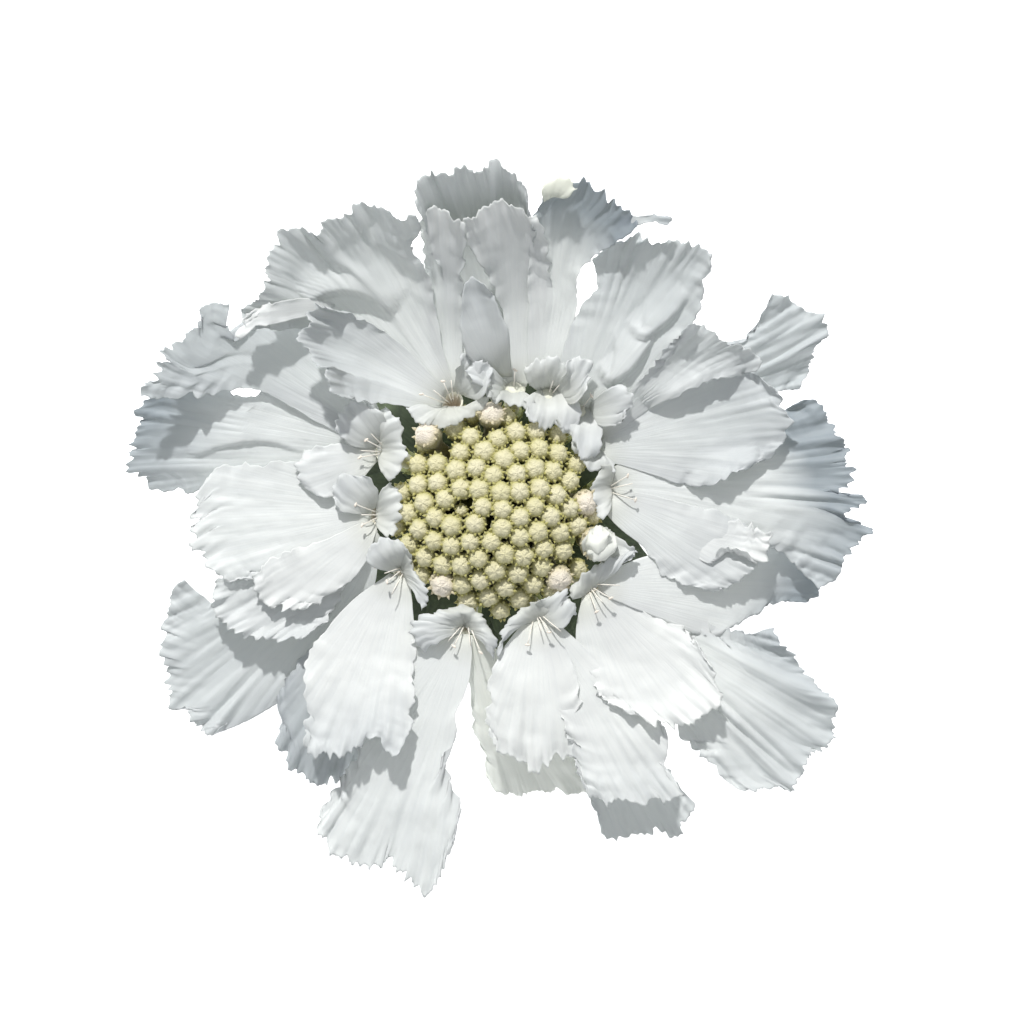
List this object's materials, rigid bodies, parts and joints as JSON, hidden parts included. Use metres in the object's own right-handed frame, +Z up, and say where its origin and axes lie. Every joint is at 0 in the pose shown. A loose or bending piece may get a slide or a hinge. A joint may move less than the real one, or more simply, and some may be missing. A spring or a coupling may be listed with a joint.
{
  "type": "scabiosa flower head",
  "caption": "White scabiosa head lying face up: ruffled ray petals round a domed disc of pale green buds, with bracts and a short cut stem below.",
  "frame": {"origin": "on the surface that the head lies on, under the middle of its outline", "axes": "+Z up, out of the disc's face; +Y towards the ray floret with the highest petals, +X to its right seen from above"},
  "size_m": [0.0739, 0.0729, 0.0229],
  "materials": {
    "petal_white": "thin, matt, slightly see-through petal",
    "bud_green": "matt, downy bud",
    "receptacle_green": "matt, downy buds on a green core",
    "opening_petal": "matt cream petal",
    "bract_green": "matt green leaf",
    "stem_green": "matt green stem, cut across"
  },
  "bodies": {
    "root": {"stem": "stem_green", "receptacle": "receptacle_green", "rim_bud_01": "bud_green", "rim_bud_02": "bud_green", "rim_bud_03": "bud_green", "rim_bud_04": "bud_green", "rim_bud_05": "bud_green", "rim_bud_06": "bud_green", "rim_bud_07": "bud_green", "rim_bud_08": "bud_green", "rim_bud_09": "bud_green", "rim_bud_10": "bud_green", "rim_bud_11": "bud_green", "rim_bud_12": "bud_green", "rim_bud_13": "bud_green", "rim_bud_14": "bud_green", "rim_bud_15": "bud_green", "rim_bud_16": "bud_green", "rim_bud_17": "bud_green", "rim_bud_18": "bud_green", "rim_bud_19": "bud_green", "rim_bud_20": "bud_green", "rim_bud_21": "bud_green", "half_open_floret": "opening_petal", "ray_floret_01": "petal_white", "ray_floret_02": "petal_white", "ray_floret_03": "petal_white", "ray_floret_04": "petal_white", "ray_floret_05": "petal_white", "ray_floret_06": "petal_white", "ray_floret_07": "petal_white", "ray_floret_08": "petal_white", "ray_floret_09": "petal_white", "ray_floret_10": "petal_white", "ray_floret_11": "petal_white", "ray_floret_12": "petal_white", "bract_01": "bract_green", "bract_02": "bract_green", "bract_03": "bract_green", "bract_04": "bract_green", "bract_05": "bract_green", "bract_06": "bract_green", "bract_07": "bract_green", "bract_08": "bract_green", "bract_09": "bract_green", "bract_10": "bract_green"}
  },
  "joints": []
}
